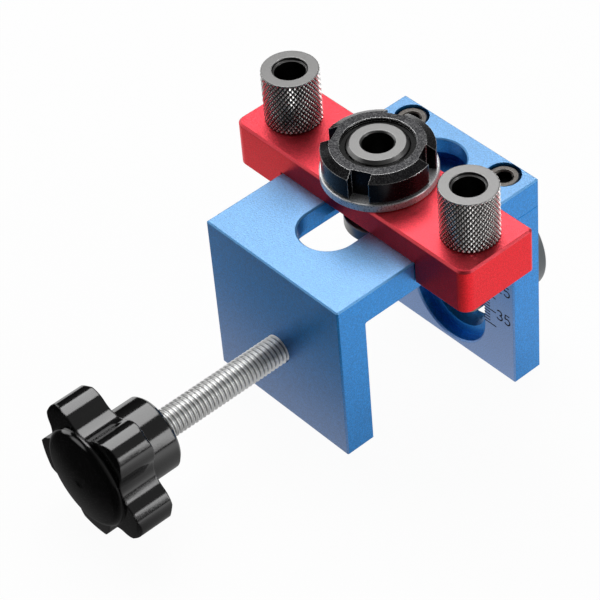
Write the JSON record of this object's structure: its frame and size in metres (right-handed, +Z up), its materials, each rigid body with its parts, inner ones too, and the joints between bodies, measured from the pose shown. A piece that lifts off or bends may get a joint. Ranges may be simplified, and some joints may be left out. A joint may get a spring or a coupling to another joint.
{
  "type": "cam and dowel jig",
  "caption": "Board-end drilling jig: clamp bracket with a sliding saddle bar of dowel guides and a sliding cam guide in a scaled rear plate, tightened by a star-knob screw.",
  "frame": {"origin": "middle of the line where the fence face of the rear plate meets the underside of the top plate, the corner that a board is pushed into", "axes": "+X along the guide bar, +Y from the knob to the rear plate and along the clamp screw, +Z up along the dowel guides"},
  "size_m": [0.084, 0.1442, 0.0881],
  "materials": {
    "blue_anodised": "bead-blasted blue anodising",
    "red_anodised": "bead-blasted red anodising",
    "black_oxide": "blackened turned steel",
    "gunmetal_steel": "diamond-knurled dark steel",
    "ground_steel": "ground steel",
    "zinc_plate": "bright zinc plate",
    "black_plastic": "glossy moulded plastic"
  },
  "bodies": {
    "frame": {"bracket": "blue_anodised", "rear_plate": "blue_anodised", "cap_screw_left": "black_oxide", "cap_screw_right": "black_oxide"},
    "guide_slide": {"guide_bar": "red_anodised", "centre_guide": "ground_steel"},
    "left_sleeve": {"left_guide": "gunmetal_steel"},
    "right_sleeve": {"right_guide": "gunmetal_steel"},
    "centre_washer_body": {"centre_washer": "zinc_plate"},
    "centre_nut_body": {"centre_lock_nut": "black_oxide"},
    "cam_carriage": {"cam_guide": "ground_steel"},
    "cam_washer_body": {"cam_washer": "zinc_plate"},
    "cam_nut_body": {"cam_lock_nut": "black_oxide"},
    "clamp_pad": {"pressure_pad": "zinc_plate"},
    "clamp_spindle": {"clamp_screw": "zinc_plate", "knob": "black_plastic"}
  },
  "joints": [
    {"name": "bar_slide", "type": "slide", "parent": "frame", "child": "guide_slide", "axis": [0, 1, 0], "range_m": [-0.0175, 0.0188]},
    {"name": "left_guide_turn", "type": "hinge", "parent": "guide_slide", "child": "left_sleeve", "pos_m": [-0.032, -0.0218, 0.01575], "axis": [0, 0, 1], "range_deg": [0, 360]},
    {"name": "right_guide_turn", "type": "hinge", "parent": "guide_slide", "child": "right_sleeve", "pos_m": [0.032, -0.0218, 0.01575], "axis": [0, 0, 1], "range_deg": [0, 360]},
    {"name": "centre_washer_lift", "type": "slide", "parent": "guide_slide", "child": "centre_washer_body", "axis": [0, 0, 1], "range_m": [0, 0.0015]},
    {"name": "centre_nut_turn", "type": "hinge", "parent": "centre_washer_body", "child": "centre_nut_body", "pos_m": [0, -0.0218, 0.01815], "axis": [0, 0, 1], "range_deg": [0, 360]},
    {"name": "cam_slide", "type": "slide", "parent": "frame", "child": "cam_carriage", "axis": [0, 0, 1], "range_m": [-0.01, 0.0139]},
    {"name": "cam_washer_lift", "type": "slide", "parent": "cam_carriage", "child": "cam_washer_body", "axis": [0, 1, 0], "range_m": [0, 0.0015]},
    {"name": "cam_nut_turn", "type": "hinge", "parent": "cam_washer_body", "child": "cam_nut_body", "pos_m": [0, 0.012, -0.032], "axis": [0, 1, 0], "range_deg": [0, 360]},
    {"name": "clamp_feed", "type": "slide", "parent": "frame", "child": "clamp_pad", "axis": [0, 1, 0], "range_m": [-0.0031, 0.0398]},
    {"name": "clamp_turn", "type": "hinge", "parent": "clamp_pad", "child": "clamp_spindle", "pos_m": [0, -0.047, -0.0192], "axis": [0, 1, 0], "range_deg": [-892, 11461]}
  ],
  "couplings": [
    {"joint": "centre_washer_lift", "follows": "centre_nut_turn", "m_per_rad": 0.00023873},
    {"joint": "cam_washer_lift", "follows": "cam_nut_turn", "m_per_rad": 0.00023873},
    {"joint": "clamp_feed", "follows": "clamp_turn", "m_per_rad": 0.00019894}
  ]
}
